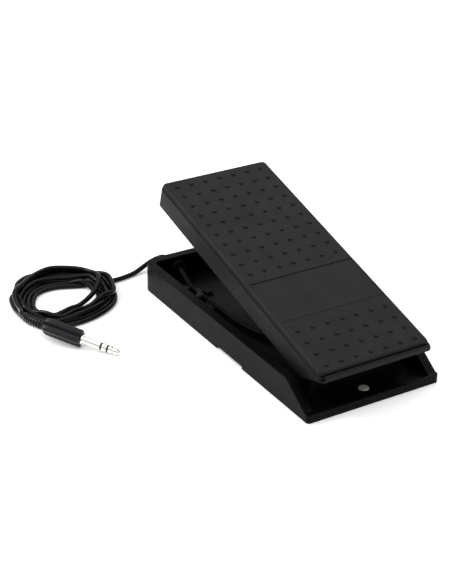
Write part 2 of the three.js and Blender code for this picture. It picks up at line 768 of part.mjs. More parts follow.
function addTray() {
  pedal.add(part('base_tray', tray(), moulding));
  pedal.add(part('bottom_plate', bottomPlate(), blackSteel));
  const feet = [[-38, -100], [38, -100], [-38, 104], [38, 104]];
  feet.forEach(([x, y], index) => {
    pedal.add(part(`rubber_foot_${index + 1}`, foot(x, y), rubber));
  });
  plateScrewPlaces.forEach((place, index) => {
    pedal.add(part(`bottom_screw_${index + 1}`, plateScrew(place), zincSteel));
  });
  pedal.add(part('floor_rivet', rivet(), zincSteel));
  pedal.add(part('toe_bumper_left', bumper(bumperPlaces[0]), rubber));
  pedal.add(part('toe_bumper_right', bumper(bumperPlaces[1]), rubber));
}

function addPivot() {
  pedal.add(part('pivot_bracket', pivotBracket(), blackSteel));
  pedal.add(part('bracket_screw_left', bracketScrew(bracketScrewPlaces[0]), zincSteel));
  pedal.add(part('bracket_screw_right', bracketScrew(bracketScrewPlaces[1]), zincSteel));
  pedal.add(part('pivot_axle', axle(), zincSteel));
  pedal.add(part('axle_clip_left', axleClip(-38.2), zincSteel));
  pedal.add(part('axle_clip_right', axleClip(38.2), zincSteel));
  const washers = [['left', -1], ['right', 1]];
  for (const [name, side] of washers) {
    const feltRange = side < 0 ? [-42.7, -41.3] : [41.3, 42.7];
    const springRange = side < 0 ? [-43.6, -43] : [43, 43.6];
    const feltRing = ringX(3.4, 7, feltRange, pivotY, pivotZ, 18);
    const springRing = ringX(3.4, 5.6, springRange, pivotY, pivotZ, 18);
    pedal.add(part(`friction_washer_${name}`, feltRing, felt));
    pedal.add(part(`spring_washer_${name}`, springRing, zincSteel));
  }
}

function addTreadle() {
  const treadle = new THREE.Group();
  treadle.position.set(0, pivotY, pivotZ);
  treadle.rotation.x = THREE.MathUtils.degToRad(restTilt);
  treadle.add(part('treadle_frame', treadleFrame(), moulding));
  treadle.add(part('tread_plate', treadPlate(), treadPlastic));
  treadScrewPlaces.forEach((place, index) => {
    treadle.add(part(`tread_screw_${index + 1}`, treadScrew(place), zincSteel));
  });
  treadle.add(part('pivot_bush_left', bush(-1), nylon));
  treadle.add(part('pivot_bush_right', bush(1), nylon));
  treadle.add(part('sector_gear', sectorGear(), nylon));
  sectorScrewPlaces.forEach((place, index) => {
    treadle.add(part(`sector_screw_${index + 1}`, sectorScrew(place), zincSteel));
  });
  pedal.add(treadle);
}

function addPotentiometer() {
  pedal.add(part('pot_bracket', potBracket(), zincSteel));
  pedal.add(part('pot_screw_1', potScrew(potScrewPlaces[0]), zincSteel));
  pedal.add(part('pot_screw_2', potScrew(potScrewPlaces[1]), zincSteel));
  pedal.add(part('pot_body', potBody(), zincSteel));
  const washerStart = potBracketX + 1.5 + gap;
  const washer = ringX(3.9, 6.4, [washerStart, washerStart + 0.6], potY, potZ, 18);
  pedal.add(part('pot_washer', washer, zincSteel));
  pedal.add(part('pot_nut', potNut(), zincSteel));
  pedal.add(part('pot_terminals', potTerminals(), phenolic));
  const shaftStart = potBracketX + 7.3 + gap;
  pedal.add(part('pot_shaft', rodX(3, potY, potZ, [shaftStart, gearX + 4.5], 18), zincSteel));
  pedal.add(part('pinion', pinion(), nylon));
}

function addCord() {
  pedal.add(part('cord_gland', gland(), rubber));
  pedal.add(part('inner_lead', tube(innerRoute, cordRadius), cordJacket));
  pedal.add(part('lead_clip', cordClip(), zincSteel));
  pedal.add(part('clip_screw', clipScrew(), zincSteel));
  pedal.add(part('cord_lead', tube(leadRoute, cordRadius), cordJacket));
  pedal.add(part('cord_coil', coil(), cordJacket));
  pedal.add(part('cord_tail', tube(tailRoute, cordRadius), cordJacket));
}

function addPlug() {
  const plug = new THREE.Group();
  plug.position.copy(plugTip);
  plug.quaternion.setFromUnitVectors(new THREE.Vector3(0, 0, 1), plugBack);
  plug.add(part('plug_tip', plugTipPiece(), nickel));
  plug.add(part('plug_insulator_front', plugWasher(9.7), rubber));
  plug.add(part('plug_ring', plugRing(), nickel));
  plug.add(part('plug_insulator_rear', plugWasher(15.4), rubber));
  plug.add(part('plug_sleeve', plugSleeve(), nickel));
  plug.add(part('plug_grip', plugGrip(), plugPlastic));
  pedal.add(plug);
  pedal.add(part('plug_boot', plugBoot(), plugPlastic));
}

addTray();
addPivot();
addTreadle();
addPotentiometer();
addCord();
addPlug();

export default pedal;
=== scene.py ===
import math

import bmesh
import bpy
import numpy as np
from mathutils import Matrix, Vector


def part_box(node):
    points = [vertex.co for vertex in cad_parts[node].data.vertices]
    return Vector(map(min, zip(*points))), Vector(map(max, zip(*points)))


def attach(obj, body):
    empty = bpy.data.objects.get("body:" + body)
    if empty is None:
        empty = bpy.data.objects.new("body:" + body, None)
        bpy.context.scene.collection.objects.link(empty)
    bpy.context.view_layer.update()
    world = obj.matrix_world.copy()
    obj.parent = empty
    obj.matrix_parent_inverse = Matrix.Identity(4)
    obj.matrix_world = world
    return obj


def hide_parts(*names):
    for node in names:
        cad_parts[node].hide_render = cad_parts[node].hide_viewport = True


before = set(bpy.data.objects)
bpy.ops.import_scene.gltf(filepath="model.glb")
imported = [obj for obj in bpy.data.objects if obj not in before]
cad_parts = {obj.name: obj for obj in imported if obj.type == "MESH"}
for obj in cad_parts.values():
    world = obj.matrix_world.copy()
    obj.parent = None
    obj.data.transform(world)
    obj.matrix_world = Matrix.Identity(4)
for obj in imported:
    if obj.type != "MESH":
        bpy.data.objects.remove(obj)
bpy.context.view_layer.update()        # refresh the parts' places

MM = 0.001


# ------------------------------------------------------------------ camera, floor and light
# A table-top studio: a seamless white floor, a soft bright ceiling that falls off to dim walls,
# and one long soft box behind the left shoulder that draws the highlights along the edges.

IMAGE_WIDTH, IMAGE_HEIGHT = 452, 584
IMAGE_FOCAL = 1516.2
SENSOR_MM = 36.0
CAMERA_PLACE = np.array([-599.9, -879.6, 595.6]) * MM
CAMERA_AZIMUTH, CAMERA_ELEVATION, CAMERA_ROLL = np.radians([-31.81, 27.78, 1.04])


def camera_axes(azimuth, elevation, roll):
    """Right, up and back directions: look along the azimuth, tip down by the elevation, then
    roll about the line of view."""
    ahead = np.array([
        -math.sin(azimuth) * math.cos(elevation),
        math.cos(azimuth) * math.cos(elevation),
        -math.sin(elevation),
    ])
    level = np.array([math.cos(azimuth), math.sin(azimuth), 0.0])
    below = -np.cross(level, ahead)
    right = math.cos(roll) * level - math.sin(roll) * below
    down = math.sin(roll) * level + math.cos(roll) * below
    return right, -down, -ahead


camera_data = bpy.data.cameras.new("camera")
camera_data.sensor_width = SENSOR_MM
camera_data.lens = IMAGE_FOCAL / max(IMAGE_WIDTH, IMAGE_HEIGHT) * SENSOR_MM
camera_data.clip_start = 0.01
camera = bpy.data.objects.new("camera", camera_data)
bpy.context.scene.collection.objects.link(camera)
camera_matrix = np.eye(4)
camera_matrix[:3, :3] = np.stack(
    camera_axes(CAMERA_AZIMUTH, CAMERA_ELEVATION, CAMERA_ROLL), axis=1
)
camera_matrix[:3, 3] = CAMERA_PLACE
camera.matrix_world = Matrix(camera_matrix.tolist())
bpy.context.scene.camera = camera
bpy.context.scene.view_settings.view_transform = "Standard"


def new_object(name, mesh_or_curve):
    """A new object in the scene, at the origin, with its place in its own data."""
    item = bpy.data.objects.new(name, mesh_or_curve)
    bpy.context.scene.collection.objects.link(item)
    return item


def new_material(name, colour, roughness, metallic=0.0, specular=0.5):
    """A Principled material and its shader node, with the constant values on its own sockets."""
    material = bpy.data.materials.new(name)
    material.use_nodes = True
    shader = material.node_tree.nodes["Principled BSDF"]
    shader.inputs["Base Color"].default_value = (*colour, 1.0)
    shader.inputs["Roughness"].default_value = roughness
    shader.inputs["Metallic"].default_value = metallic
    shader.inputs["Specular IOR Level"].default_value = specular
    return material, shader


def add_node(material, kind, **settings):
    """A node of that kind in the material, with settings as attributes."""
    node = material.node_tree.nodes.new(kind)
    for key, value in settings.items():
        setattr(node, key, value)
    return node


def link(material, source, target):
    material.node_tree.links.new(source, target)


floor_mesh = bpy.data.meshes.new("studio_floor")
FLOOR_HALF = 6.0
floor_mesh.from_pydata(
    [(-FLOOR_HALF, -FLOOR_HALF, 0), (FLOOR_HALF, -FLOOR_HALF, 0),
     (FLOOR_HALF, FLOOR_HALF, 0), (-FLOOR_HALF, FLOOR_HALF, 0)],
    [], [(0, 1, 2, 3)],
)
floor = new_object("studio_floor", floor_mesh)
floor_paper, floor_shader = new_material("studio_paper", (0.95, 0.95, 0.95), 0.9, specular=0.1)
floor_shader.inputs["Emission Color"].default_value = (1.0, 1.0, 1.0, 1.0)
floor_shader.inputs["Emission Strength"].default_value = 0.2
floor_mesh.materials.append(floor_paper)

world = bpy.data.worlds.new("studio_ceiling")
bpy.context.scene.world = world
world.use_nodes = True
world_nodes, world_links = world.node_tree.nodes, world.node_tree.links
sky_place = world_nodes.new("ShaderNodeTexCoord")
sky_height = world_nodes.new("ShaderNodeSeparateXYZ")
sky_ramp = world_nodes.new("ShaderNodeValToRGB")
world_links.new(sky_place.outputs["Generated"], sky_height.inputs[0])
world_links.new(sky_height.outputs["Z"], sky_ramp.inputs["Fac"])
world_links.new(sky_ramp.outputs["Color"], world_nodes["Background"].inputs["Color"])
sky_stops = [(0.0, 0.12), (0.30, 0.22), (0.62, 0.85), (1.0, 1.0)]
sky_ramp.color_ramp.elements[0].position = sky_stops[0][0]
sky_ramp.color_ramp.elements[1].position = sky_stops[-1][0]
for position, _ in sky_stops[1:-1]:
    sky_ramp.color_ramp.elements.new(position)
for element, (_, level) in zip(sky_ramp.color_ramp.elements, sky_stops):
    element.color = (level, level, level, 1.0)
world_nodes["Background"].inputs["Strength"].default_value = 1.5


def soft_box(name, place, aim, size, power):
    """A rectangular lamp at a place, turned to face the aim point."""
    data = bpy.data.lights.new(name, "AREA")
    data.shape = "RECTANGLE"
    data.size, data.size_y = size
    data.energy = power
    lamp = new_object(name, data)
    lamp.location = place
    lamp.rotation_euler = (Vector(aim) - Vector(place)).to_track_quat("-Z", "Y").to_euler()


soft_box("key_box", (-1.1, 0.9, 1.2), (0, 0, 0.03), (0.2, 0.8), 14.0)


# ------------------------------------------------------------------ cord
# A stereo lead, 4.2 mm across, with a smooth soft black jacket. It leaves the gland in the toe
# wall, drops to the floor and lies in seven loose turns before it runs up into the plug's boot.

CORD_RADIUS = 2.1
COIL_CENTRE = np.array([-130.5, 129.5])
PLUG_TIP = np.array([-131.3, 30.9, 2.5])
PLUG_AHEAD = np.array([0.5816, -0.8006, -0.1444])
PLUG_BACK = -PLUG_AHEAD / np.linalg.norm(PLUG_AHEAD)
BOOT_START = 67.0             # distance from the plug's tip
BOOT_LENGTH = 21.0
BOOT_BEND = math.radians(32)
BOOT_SIDE = np.array([0.8, 0.58, -0.35])
BOOT_SIDE = BOOT_SIDE - PLUG_BACK * (BOOT_SIDE @ PLUG_BACK)
BOOT_SIDE = BOOT_SIDE / np.linalg.norm(BOOT_SIDE)


def boot_line(distance):
    """Centre line of the boot: a circular arc through BOOT_BEND, then straight on.
    Distances go in, points come out."""
    distance = np.asarray(distance, float)[:, None]
    along = np.minimum(distance, BOOT_LENGTH)
    angle = BOOT_BEND * along / BOOT_LENGTH
    radius = BOOT_LENGTH / BOOT_BEND
    beyond = distance - along
    return (
        PLUG_TIP + PLUG_BACK * BOOT_START
        + PLUG_BACK * (radius * np.sin(angle) + beyond * np.cos(angle))
        + BOOT_SIDE * (radius * (1 - np.cos(angle)) + beyond * np.sin(angle))
    )


def smoothed(values, reach):
    """Each row averaged with its neighbours under a raised-cosine window of that reach."""
    window = np.hanning(2 * reach + 3)[1:-1]
    window = window / window.sum()
    padded = np.pad(values, ((reach, reach), (0, 0)), mode="edge")
    return np.stack([np.convolve(column, window, "valid") for column in padded.T], axis=1)


def evenly(points, step):
    """The same line with a point every step along it."""
    steps = np.linalg.norm(np.diff(points, axis=0), axis=1)
    reached = np.concatenate([[0.0], np.cumsum(steps)])
    wanted = np.linspace(0, reached[-1], int(round(reached[-1] / step)) + 1)
    return np.stack([np.interp(wanted, reached, column) for column in points.T], axis=1)


def through(points, share=8):
    """Catmull-Rom curve through the points, with so many samples to each span."""
    first, last = 2 * points[0] - points[1], 2 * points[-1] - points[-2]
    before, start, end, after = (
        np.vstack([first, points, last])[k:len(points) + k - 1] for k in range(4)
    )
    t = np.linspace(0, 1, share, endpoint=False)[None, :, None]
    a, b, c, d = (p[:, None, :] for p in (before, start, end, after))
    spans = 0.5 * (
        2 * b + (c - a) * t + (2 * a - 5 * b + 4 * c - d) * t**2 + (3 * b - a - 3 * c + d) * t**3
    )
    return np.vstack([spans.reshape(-1, points.shape[1]), points[-1:]])


lead_points = np.array([
    [-30, 137.2, 14], [-30, 141, 13.6], [-32, 145.2, 11.8], [-36.5, 148.6, 8.8],
    [-42.5, 149.4, 6.0], [-49, 148.2, 3.8], [-56, 146, 2.6], [-63.9, 144.2, 2.15],
    [-72, 143.2, 2.15], [-80, 142.8, 2.15], [-90, 143.8, 2.15], [-98, 146.8, 2.15],
])
# The hole's edge and the coil's edge, every 45 degrees from the +X side, as radii
HOLE_EDGE = np.array([30, 27.5, 26.5, 28, 29, 24.5, 19, 24, 30])
COIL_EDGE = np.array([43, 48, 48.5, 41.5, 42.5, 45.5, 37, 37, 43])
LAYER = 4.2
GROUND = 2.15


def lane_radius(turned, share):
    """Radius at an angle, at a share of the way from the hole's edge to the coil's edge."""
    marks = np.arange(0, 361, 45)
    hole = np.interp(turned % 360, marks, HOLE_EDGE)
    return hole + share * (np.interp(turned % 360, marks, COIL_EDGE) - hole)


# Four turns on the floor, winding outwards, humped where they pass over the lead
low_turned = np.arange(60, 60 + 360 * 4.1, 15.0)
low_share = np.interp(low_turned, [60, 300, 60 + 360 * 3.55, 60 + 360 * 4.1], [0, 0.02, 1, 1])
over_lead = (low_turned % 360 > 2) & (low_turned % 360 < 34) & (low_turned > 200)
low_height = GROUND + LAYER * over_lead
low_height = low_height + np.interp(low_turned, [60 + 360 * 3.9, 60 + 360 * 4.1], [0, LAYER])
low_turns = np.stack([low_turned, lane_radius(low_turned, low_share), low_height], axis=1)
# One turn on top of them, winding in
top_turned = np.arange(low_turned[-1] + 15, 60 + 360 * 5 + 1, 15.0)
top_share = np.interp(top_turned, [top_turned[0], top_turned[-1]], [0.92, 0.42])
top_turns = np.stack(
    [top_turned, lane_radius(top_turned, top_share), np.full(len(top_turned), 6.35)], axis=1
)
# A slack turn that stands out on the +X side, then the last one, which cuts across the hole
slack_turn = np.array([
    [1905, 37, 6.4], [1950, 39, 6.4], [1990, 38.5, 6.4],
    [2031, 34.3, 6.4], [2046, 28.9, 6.4], [2068, 23.9, 6.4], [2095, 23.2, 6.4],
    [2117, 27.5, 6.4], [2130, 33.9, 6.7], [2141, 39.7, 7.6], [2151, 43, 8.6], [2162, 44.6, 9],
    [2175, 46, 8.6], [2189, 49, 7.6], [2201, 50.2, 6.8], [2214, 50.5, 6.4], [2227, 50.1, 6.4],
    [2260, 46, 6.6], [2300, 39, 6.6], [2340, 38.5, 6.6], [2370, 38.5, 6.4],
])
last_turn = np.array([
    [2386, 34.3, 6.1], [2398, 27.5, 6.5], [2417, 18.8, 6.1], [2463, 14.5, 6.0],
    [2496, 19.1, 7.0], [2513, 25.5, 9], [2528, 32.2, 10.4], [2542, 40.3, 10.5],
    [2552, 45.8, 10.5], [2562, 48, 10.5], [2574, 48.4, 10.6], [2587, 49, 10.6],
    [2599, 48.1, 10.6], [2611, 45.8, 10.6], [2624, 43.1, 10.5], [2641, 40.2, 10.5],
    [2660, 39.2, 10.5], [2678, 39.2, 10.6], [2697, 41.4, 11.3], [2714, 45.5, 12.3],
])
turns = np.vstack([low_turns, top_turns, slack_turn, last_turn])
wound = np.arange(turns[0, 0], turns[-1, 0] + 0.1, 3.0)
radius_and_height = smoothed(
    np.stack([np.interp(wound, turns[:, 0], turns[:, k]) for k in (1, 2)], axis=1), 6
)
wound = np.radians(wound)
coil_points = np.stack([
    COIL_CENTRE[0] + radius_and_height[:, 0] * np.cos(wound),
    COIL_CENTRE[1] + radius_and_height[:, 0] * np.sin(wound),
    radius_and_height[:, 1],
], axis=1)
into_boot = boot_line([27.0, 24.2, 21.2])
cord_points = evenly(np.vstack([through(lead_points), coil_points, into_boot]), 2.0)


def settled(points, rounds=120, held_start=20, held_end=4):
    """The line pushed apart wherever it lies in itself, smoothed without shrinking, and kept
    above the floor."""
    points = points.copy()
    order = np.arange(len(points))
    apart = np.abs(order[:, None] - order[None]) >= 7
    width = 2 * CORD_RADIUS * 1.01
    free = slice(held_start, -held_end)
    for _ in range(rounds):
        between = points[:, None] - points[None]
        distance = np.linalg.norm(between, axis=2)
        touching = (distance < width) & apart
        share = np.where(touching, (width - distance) / np.maximum(distance, 1e-6), 0)
        push = (share[:, :, None] * between).sum(1)
        push = push * 0.6 / np.maximum(touching.sum(1), 1)[:, None]
        points[free] += push[free]
        for pull in (0.5, -0.505) * 6:
            middle = np.zeros_like(points)
            middle[1:-1] = (points[:-2] + points[2:]) / 2 - points[1:-1]
            points[free] += pull * middle[free]
        points[held_start:-8, 2] -= 0.02
        points[:, 2] = np.maximum(points[:, 2], CORD_RADIUS + 0.02)
    return points


cord_points = settled(cord_points)


def round_cord(name, points, radius):
    """A round section carried along the points: one open curve with a bevel and closed ends."""
    curve = bpy.data.curves.new(name, "CURVE")
    curve.dimensions = "3D"
    curve.bevel_depth = radius * MM
    curve.bevel_resolution = 4
    curve.use_fill_caps = True
    spline = curve.splines.new("POLY")
    spline.points.add(len(points) - 1)
    places = np.concatenate([points * MM, np.ones((len(points), 1))], axis=1)
    spline.points.foreach_set("co", places.ravel())
    spline.use_smooth = True
    return new_object(name, curve)


def jacket_material(name, colour, roughness, specular=0.5):
    """Soft vinyl: nearly smooth, with faint waves in the surface and duller patches."""
    material, shader = new_material(name, colour, roughness, specular=specular)
    place = add_node(material, "ShaderNodeTexCoord")
    patches = add_node(material, "ShaderNodeTexNoise")
    patches.inputs["Scale"].default_value = 60.0
    patches.inputs["Detail"].default_value = 3.0
    link(material, place.outputs["Object"], patches.inputs["Vector"])
    dull = add_node(material, "ShaderNodeMapRange")
    dull.inputs["From Min"].default_value = 0.3
    dull.inputs["From Max"].default_value = 0.7
    dull.inputs["To Min"].default_value = roughness - 0.06
    dull.inputs["To Max"].default_value = roughness + 0.1
    link(material, patches.outputs["Fac"], dull.inputs["Value"])
    link(material, dull.outputs["Result"], shader.inputs["Roughness"])
    waves = add_node(material, "ShaderNodeTexNoise")
    waves.inputs["Scale"].default_value = 450.0
    link(material, place.outputs["Object"], waves.inputs["Vector"])
    bump = add_node(material, "ShaderNodeBump")
    bump.inputs["Strength"].default_value = 0.08
    bump.inputs["Distance"].default_value = 0.0003
    link(material, waves.outputs["Fac"], bump.inputs["Height"])
    link(material, bump.outputs["Normal"], shader.inputs["Normal"])
    return material


cord_black = jacket_material("cord_black_vinyl", (0.002, 0.002, 0.0024), 0.18, specular=0.14)
cord = round_cord("signal_cord", cord_points, CORD_RADIUS)
cord.data.materials.append(cord_black)
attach(cord, "base")
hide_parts("cord_lead", "cord_coil", "cord_tail")


# ------------------------------------------------------------------ plug
# A quarter-inch stereo jack: a nickel-plated brass tip, ring and sleeve held apart by black
# insulating washers, in a square moulded grip with a channel along the middle of each face.

PLUG_ACROSS = BOOT_SIDE
PLUG_UP = np.cross(PLUG_BACK, PLUG_ACROSS)


def surface(name, grid, close_around=True, cap_start=False, cap_end=False):
    """A mesh from a grid of points, with rows along and columns around: each cell is one face,
    and flat caps close the ends."""
    rows, columns = grid.shape[:2]
    index = np.arange(rows * columns).reshape(rows, columns)
    wrapped = np.concatenate([index, index[:, :1]], axis=1) if close_around else index
    faces = np.stack(
        [wrapped[:-1, :-1], wrapped[:-1, 1:], wrapped[1:, 1:], wrapped[1:, :-1]], axis=-1
    ).reshape(-1, 4).tolist()
    if cap_start:
        faces.append(index[0, ::-1].tolist())
    if cap_end:
        faces.append(index[-1].tolist())
    mesh = bpy.data.meshes.new(name)
    mesh.from_pydata((grid.reshape(-1, 3) * MM).tolist(), [], faces)
    mesh.update()
    return mesh


def outward(mesh, smooth=True):
    """The mesh with every face turned outwards and shaded smooth."""
    work = bmesh.new()
    work.from_mesh(mesh)
    bmesh.ops.remove_doubles(work, verts=work.verts, dist=1e-7)
    bmesh.ops.recalc_face_normals(work, faces=work.faces)
    work.to_mesh(mesh)
    work.free()
    mesh.polygons.foreach_set("use_smooth", [smooth] * len(mesh.polygons))
    mesh.set_sharp_from_angle(angle=math.radians(32))
    return mesh


def turned_piece(name, profile, origin, axis, across, sides=48):
    """A profile of (radius, distance) pairs turned about an axis through the origin point."""
    profile = np.asarray(profile, float)
    round_ = np.linspace(0, 2 * math.pi, sides, endpoint=False)
    up = np.cross(axis, across)
    ring = np.cos(round_)[:, None] * across + np.sin(round_)[:, None] * up
    grid = origin + profile[:, None, 1:2] * axis + profile[:, None, 0:1] * ring[None]
    return new_object(name, outward(surface(name, grid, cap_start=True, cap_end=True)))


def rounded_profile(corners, radius, steps=4):
    """A profile whose inner corners are each cut back and rounded by that radius."""
    corners = np.asarray(corners, float)
    made = [corners[:1]]
    t = np.linspace(0, 1, steps + 1)[:, None]
    for before, corner, after in zip(corners[:-2], corners[1:-1], corners[2:]):
        back, ahead = before - corner, after - corner
        cut_back = min(radius, np.linalg.norm(back) * 0.45)
        cut_ahead = min(radius, np.linalg.norm(ahead) * 0.45)
        start = corner + back / np.linalg.norm(back) * cut_back
        end = corner + ahead / np.linalg.norm(ahead) * cut_ahead
        made.append((1 - t) ** 2 * start + 2 * t * (1 - t) * corner + t**2 * end)
    made.append(corners[-1:])
    return np.vstack(made)


nickel, nickel_shader = new_material("plug_nickel_plate", (0.86, 0.84, 0.79), 0.12, metallic=1.0)
place = add_node(nickel, "ShaderNodeTexCoord")
drawn_lines = add_node(nickel, "ShaderNodeTexNoise")
drawn_lines.inputs["Scale"].default_value = 1800.0
link(nickel, place.outputs["Object"], drawn_lines.inputs["Vector"])
polish = add_node(nickel, "ShaderNodeMapRange")
polish.inputs["To Min"].default_value = 0.08
polish.inputs["To Max"].default_value = 0.22
link(nickel, drawn_lines.outputs["Fac"], polish.inputs["Value"])
link(nickel, polish.outputs["Result"], nickel_shader.inputs["Roughness"])

insulator_black = jacket_material("plug_insulator_black", (0.01, 0.01, 0.01), 0.5)

TIP_PROFILE = [
    (0.02, 0), (1.0, 0.25), (2.2, 1.9), (2.85, 3.3), (2.8, 3.9), (2.15, 5.0), (2.1, 6.0),
    (2.7, 7.0), (3.17, 7.7), (3.17, 9.4), (0.02, 9.4),
]
for piece_name, profile, finish, slot_name in (
    ("plug_tip", TIP_PROFILE, nickel, "nickel"),
    ("plug_insulator_front", [(0.02, 9.7), (3.0, 9.7), (3.0, 10.6), (0.02, 10.6)],
     insulator_black, "rubber"),
    ("plug_ring", [(0.02, 10.9), (3.17, 10.9), (3.17, 15.1), (0.02, 15.1)], nickel, "nickel"),
    ("plug_insulator_rear", [(0.02, 15.4), (3.0, 15.4), (3.0, 16.3), (0.02, 16.3)],
     insulator_black, "rubber"),
    ("plug_sleeve", [(0.02, 16.6), (3.17, 16.6), (3.17, 31.4), (4.4, 31.4), (4.4, 33.0),
                     (0.02, 33.0)], nickel, "nickel"),
):
    piece = turned_piece(
        f"{piece_name}_turned", rounded_profile(profile, 0.25), PLUG_TIP, PLUG_BACK, PLUG_ACROSS
    )
    piece.data.materials.append(finish)
    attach(piece, "base")
    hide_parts(piece_name)

GRIP_START, GRIP_HALF, GRIP_CORNER = 33.3, 6.0, 7.6
CHANNEL_DEPTH, CHANNEL_SPREAD = 1.5, 0.03
GRIP_ROLL = math.radians(34.7)    # one channel lies 36 degrees off the top


def grip_section(turn):
    """Radius round the grip: a rounded square, with a channel cut along the middle of each face."""
    square = GRIP_HALF / (np.abs(np.cos(turn)) ** 7 + np.abs(np.sin(turn)) ** 7) ** (1 / 7)
    from_middle = (turn + math.pi / 4) % (math.pi / 2) - math.pi / 4
    channel = CHANNEL_DEPTH * np.exp(-from_middle**2 / CHANNEL_SPREAD)
    return np.minimum(square, GRIP_CORNER) - channel


grip_turn = np.linspace(0, 2 * math.pi, 160, endpoint=False)
grip_steps = np.array([
    (0.0, 0.02), (0.0, 0.9), (0.15, 0.96), (0.6, 1.0), (27.0, 1.0), (30.5, 0.97),
    (32.6, 0.86), (33.4, 0.76), (33.4, 0.02),
])
grip_radius = grip_section(grip_turn)[None, :] * grip_steps[:, 1:2]
grip_ring = (
    np.cos(grip_turn + GRIP_ROLL)[:, None] * PLUG_ACROSS
    + np.sin(grip_turn + GRIP_ROLL)[:, None] * PLUG_UP
)
grip_grid = (
    PLUG_TIP + (GRIP_START + grip_steps[:, None, 0:1]) * PLUG_BACK
    + grip_radius[:, :, None] * grip_ring[None]
)


def moulded_group():
    """Fine spark-eroded grain shared by the mouldings: gives a height, and a mask of rubbed
    places."""
    group = bpy.data.node_groups.new("moulded_grain", "ShaderNodeTree")
    for name, default in (("Grain scale", 2600.0), ("Rub scale", 55.0)):
        socket = group.interface.new_socket(name, in_out="INPUT", socket_type="NodeSocketFloat")
        socket.default_value = default
    for name in ("Height", "Rub"):
        group.interface.new_socket(name, in_out="OUTPUT", socket_type="NodeSocketFloat")
    nodes, links = group.nodes, group.links
    start, end = nodes.new("NodeGroupInput"), nodes.new("NodeGroupOutput")
    where = nodes.new("ShaderNodeTexCoord")
    grain, rub = nodes.new("ShaderNodeTexNoise"), nodes.new("ShaderNodeTexNoise")
    grain.inputs["Detail"].default_value = 2.0
    rub.inputs["Detail"].default_value = 5.0
    rub.inputs["Roughness"].default_value = 0.65
    for texture, name in ((grain, "Grain scale"), (rub, "Rub scale")):
        links.new(where.outputs["Object"], texture.inputs["Vector"])
        links.new(start.outputs[name], texture.inputs["Scale"])
    links.new(grain.outputs["Fac"], end.inputs["Height"])
    links.new(rub.outputs["Fac"], end.inputs["Rub"])
    return group


moulded_grain = moulded_group()


def moulding_material(name, colour, roughness, grain_depth=0.00012, specular=0.5, edge=0.0):
    """Moulded plastic: grain in relief, with colour and gloss that vary a little where it has
    been rubbed. An edge radius in millimetres softens its edges in shading only."""
    material, shader = new_material(name, colour, roughness, specular=specular)
    grain = add_node(material, "ShaderNodeGroup", node_tree=moulded_grain)
    tint = add_node(material, "ShaderNodeMix", data_type="RGBA")
    tint.inputs["A"].default_value = (*(c * 0.86 for c in colour), 1.0)
    tint.inputs["B"].default_value = (*(c * 1.16 for c in colour), 1.0)
    link(material, grain.outputs["Rub"], tint.inputs["Factor"])
    link(material, tint.outputs["Result"], shader.inputs["Base Color"])
    gloss = add_node(material, "ShaderNodeMapRange")
    gloss.inputs["From Min"].default_value = 0.3
    gloss.inputs["From Max"].default_value = 0.7
    gloss.inputs["To Min"].default_value = roughness + 0.07
    gloss.inputs["To Max"].default_value = roughness - 0.07
    link(material, grain.outputs["Rub"], gloss.inputs["Value"])
    link(material, gloss.outputs["Result"], shader.inputs["Roughness"])
    bump = add_node(material, "ShaderNodeBump")
    bump.inputs["Strength"].default_value = 0.35
    bump.inputs["Distance"].default_value = grain_depth
    link(material, grain.outputs["Height"], bump.inputs["Height"])
    if edge:
        soft = add_node(material, "ShaderNodeBevel", samples=6)
        soft.inputs["Radius"].default_value = edge * MM
        link(material, soft.outputs["Normal"], bump.inputs["Normal"])
    link(material, bump.outputs["Normal"], shader.inputs["Normal"])
    return material


grip_black = moulding_material("plug_grip_moulding", (0.008, 0.008, 0.0095), 0.3, specular=0.2)
grip = new_object("plug_grip_moulded", outward(
    surface("plug_grip_moulded", grip_grid, cap_start=True, cap_end=True)
))
grip.data.materials.append(grip_black)
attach(grip, "base")
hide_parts("plug_grip")

# The boot is the same moulding drawn out over the cord: ribs with slots between them let it bend
BOOT_RIBS = 7
boot_steps = np.linspace(0, BOOT_LENGTH, 150)
rib_wave = (boot_steps - 1.8) / (BOOT_LENGTH - 3.2) * BOOT_RIBS
in_slot = (rib_wave > 0) & (rib_wave < BOOT_RIBS) & (rib_wave % 1 < 0.38)
boot_radius = np.interp(boot_steps, [0, 3, BOOT_LENGTH], [4.5, 4.4, 3.0]) - 0.8 * in_slot
boot_turn = np.linspace(0, 2 * math.pi, 40, endpoint=False)
boot_angle = (BOOT_BEND * boot_steps / BOOT_LENGTH)[:, None, None]
boot_across = np.cos(boot_angle) * BOOT_SIDE - np.sin(boot_angle) * PLUG_BACK
boot_round = (
    np.cos(boot_turn)[None, :, None] * boot_across
    + np.sin(boot_turn)[None, :, None] * PLUG_UP
)
boot_grid = boot_line(boot_steps)[:, None, :] + boot_radius[:, None, None] * boot_round
boot = new_object("plug_boot_ribbed", outward(
    surface("plug_boot_ribbed", boot_grid, cap_start=True, cap_end=True)
))
boot.data.materials.append(grip_black)
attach(boot, "base")
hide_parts("plug_boot")

